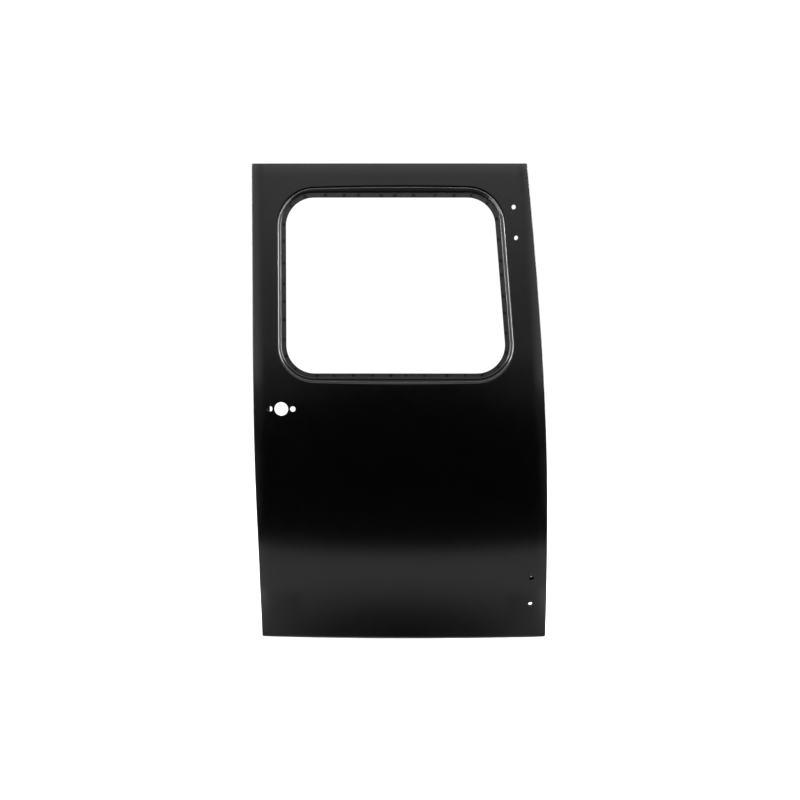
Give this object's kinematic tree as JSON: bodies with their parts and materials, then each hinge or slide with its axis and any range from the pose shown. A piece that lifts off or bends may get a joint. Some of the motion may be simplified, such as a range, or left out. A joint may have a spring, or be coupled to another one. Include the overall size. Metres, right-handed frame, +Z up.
{
  "type": "van rear door shell",
  "caption": "Bare pressed-steel rear door shell of a small van: waisted outer skin with a recessed window opening, folded hem, inner frame, hinge plates and handle holes.",
  "frame": {"origin": "middle of the lower hinge's two bolts, on the outer face of its tapping plate", "axes": "+X from the lock edge towards the hinge edge, +Y into the van, +Z up, with the door shut in the van"},
  "size_m": [0.5358, 0.1202, 0.8809],
  "materials": {
    "skin_primer": "satin black primer",
    "frame_primer": "satin black primer",
    "plate_primer": "matt black primer"
  },
  "bodies": {
    "root": {"outer_skin": "skin_primer", "window_frame": "frame_primer", "lock_side_rail": "frame_primer", "hinge_side_rail": "frame_primer", "bottom_rail": "frame_primer", "upper_hinge_bracket": "plate_primer", "lower_hinge_bracket": "plate_primer", "upper_tapping_plate": "plate_primer", "lower_tapping_plate": "plate_primer", "handle_plate": "plate_primer"}
  },
  "joints": []
}
